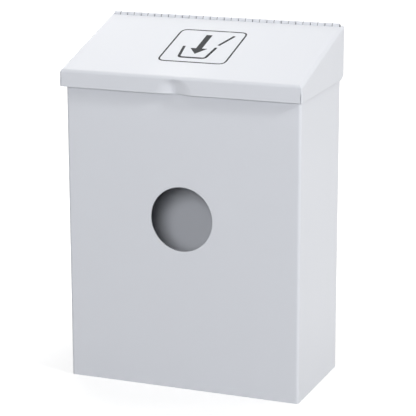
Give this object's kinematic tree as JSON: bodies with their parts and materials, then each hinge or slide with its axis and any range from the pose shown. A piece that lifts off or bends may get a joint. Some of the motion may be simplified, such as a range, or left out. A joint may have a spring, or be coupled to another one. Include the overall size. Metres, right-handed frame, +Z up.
{
  "type": "sanitary container",
  "caption": "Wall-hung sheet-steel sanitary container: hemmed box with a round sight hole and a sloping lid on a continuous hinge.",
  "frame": {"origin": "middle of the overall footprint, from the lid's front lip to the wall face, on the base plane", "axes": "+Z up, +Y towards the wall (the front faces -Y), +X to the right seen from the front"},
  "size_m": [0.2084, 0.108, 0.2974],
  "materials": {
    "powder_coat_box": "semi-gloss white powder coat",
    "powder_coat_lid": "semi-gloss white powder coat",
    "powder_coat_hinge": "semi-gloss white powder coat, worn thin at the knuckle ends",
    "hinge_pin_steel": "drawn steel wire"
  },
  "bodies": {
    "case": {"front_wrap": "powder_coat_box", "back_panel": "powder_coat_box", "bottom_pan": "powder_coat_box", "hinge_leaf_body": "powder_coat_hinge", "hinge_pin": "hinge_pin_steel"},
    "lid": {"lid_shell": "powder_coat_lid", "hinge_leaf_lid": "powder_coat_hinge"}
  },
  "joints": [
    {"name": "lid_hinge", "type": "hinge", "parent": "case", "child": "lid", "pos_m": [0, 0.05162, 0.2952], "axis": [-1, 0, 0], "range_deg": [0, 105]}
  ]
}
